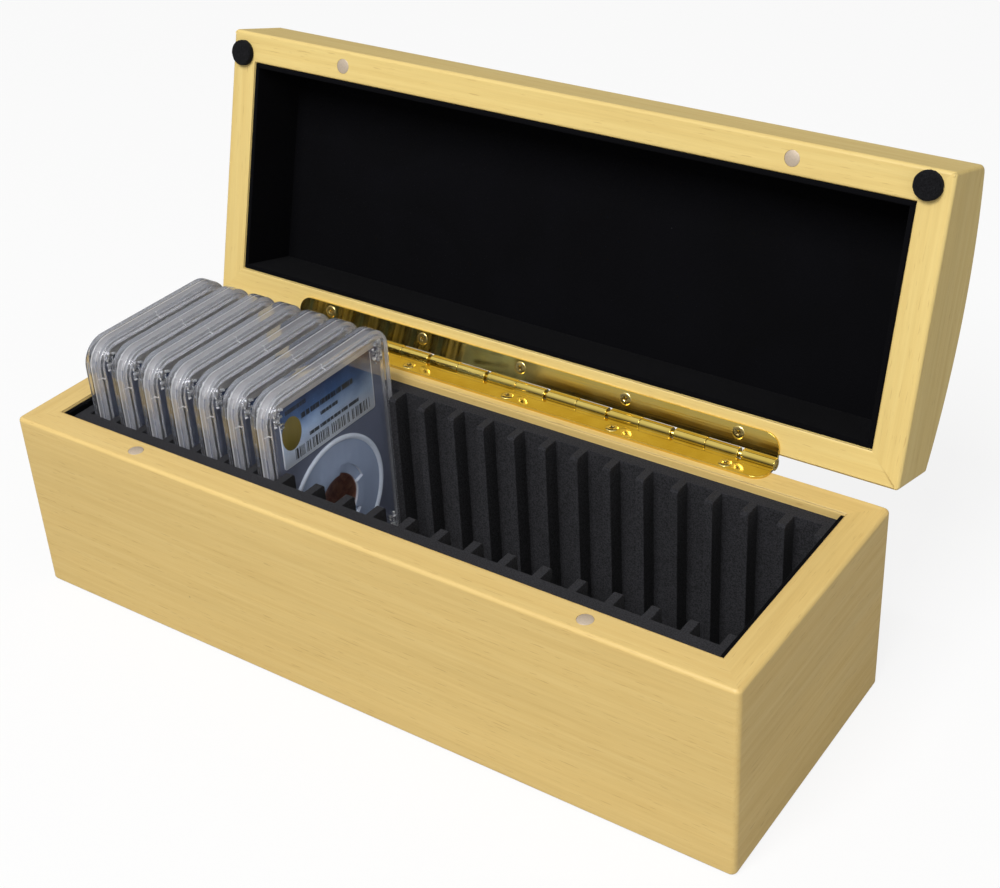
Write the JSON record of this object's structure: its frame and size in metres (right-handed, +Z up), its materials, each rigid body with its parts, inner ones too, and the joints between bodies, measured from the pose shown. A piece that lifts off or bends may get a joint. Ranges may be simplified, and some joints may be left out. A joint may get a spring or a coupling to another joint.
{
  "type": "coin holder display case",
  "caption": "Long pale wooden box with a domed lid standing open on a full-length brass hinge, slotted black foam inside, and clear coin holders in the slots at one end.",
  "frame": {"origin": "centre of the box's flat underside", "axes": "+X along the case to the right as seen from the front, +Y from the front to the hinge, +Z up"},
  "size_m": [0.27, 0.1495, 0.1623],
  "materials": {
    "pale_wood": "satin clear lacquer over straight fine grain",
    "foam": "matte closed-cell foam",
    "velvet": "short black pile",
    "felt": "matte felt",
    "brass": "polished and plated",
    "magnet": "dull nickel",
    "clear_shell": "clear moulded plastic",
    "core_plastic": "frosted moulded plastic",
    "copper": "toned copper",
    "paper": "printed paper in a blue fade"
  },
  "bodies": {
    "case": {"base_front_panel": "pale_wood", "base_back_panel": "pale_wood", "base_left_panel": "pale_wood", "base_right_panel": "pale_wood", "base_floor_panel": "pale_wood", "insert_floor_pad": "foam", "slot_insert_front": "foam", "slot_insert_back": "foam", "base_end_linings": "velvet", "base_magnets": "magnet", "hinge_base_leaf": "brass", "hinge_base_screws": "brass", "hinge_pin": "brass"},
    "lid": {"lid_front_rail": "pale_wood", "lid_back_rail": "pale_wood", "lid_left_rail": "pale_wood", "lid_right_rail": "pale_wood", "lid_top_panel": "pale_wood", "lid_lining_top": "velvet", "lid_lining_sides": "velvet", "lid_lining_ends": "velvet", "lid_magnets": "magnet", "lid_bumpers": "felt", "hinge_lid_leaf": "brass", "hinge_lid_screws": "brass"},
    "holder_1": {"holder_1_front_shell": "clear_shell", "holder_1_back_shell": "clear_shell", "holder_1_core": "core_plastic", "holder_1_coin": "copper", "holder_1_label": "paper"},
    "holder_2": {"holder_2_front_shell": "clear_shell", "holder_2_back_shell": "clear_shell", "holder_2_core": "core_plastic", "holder_2_coin": "copper", "holder_2_label": "paper"},
    "holder_3": {"holder_3_front_shell": "clear_shell", "holder_3_back_shell": "clear_shell", "holder_3_core": "core_plastic", "holder_3_coin": "copper", "holder_3_label": "paper"},
    "holder_4": {"holder_4_front_shell": "clear_shell", "holder_4_back_shell": "clear_shell", "holder_4_core": "core_plastic", "holder_4_coin": "copper", "holder_4_label": "paper"},
    "holder_5": {"holder_5_front_shell": "clear_shell", "holder_5_back_shell": "clear_shell", "holder_5_core": "core_plastic", "holder_5_coin": "copper", "holder_5_label": "paper"},
    "holder_6": {"holder_6_front_shell": "clear_shell", "holder_6_back_shell": "clear_shell", "holder_6_core": "core_plastic", "holder_6_coin": "copper", "holder_6_label": "paper"},
    "holder_7": {"holder_7_front_shell": "clear_shell", "holder_7_back_shell": "clear_shell", "holder_7_core": "core_plastic", "holder_7_coin": "copper", "holder_7_label": "paper"}
  },
  "joints": [
    {"name": "lid_hinge", "type": "hinge", "parent": "case", "child": "lid", "pos_m": [0, 0.0504, 0.0676], "axis": [-1, 0, 0], "range_deg": [-105.2, 0]},
    {"name": "holder_1_lift", "type": "slide", "parent": "case", "child": "holder_1", "axis": [0, 0, 1], "range_m": [0, 0.066]},
    {"name": "holder_2_lift", "type": "slide", "parent": "case", "child": "holder_2", "axis": [0, 0, 1], "range_m": [0, 0.066]},
    {"name": "holder_3_lift", "type": "slide", "parent": "case", "child": "holder_3", "axis": [0, 0, 1], "range_m": [0, 0.066]},
    {"name": "holder_4_lift", "type": "slide", "parent": "case", "child": "holder_4", "axis": [0, 0, 1], "range_m": [0, 0.066]},
    {"name": "holder_5_lift", "type": "slide", "parent": "case", "child": "holder_5", "axis": [0, 0, 1], "range_m": [0, 0.066]},
    {"name": "holder_6_lift", "type": "slide", "parent": "case", "child": "holder_6", "axis": [0, 0, 1], "range_m": [0, 0.066]},
    {"name": "holder_7_lift", "type": "slide", "parent": "case", "child": "holder_7", "axis": [0, 0, 1], "range_m": [0, 0.066]}
  ]
}
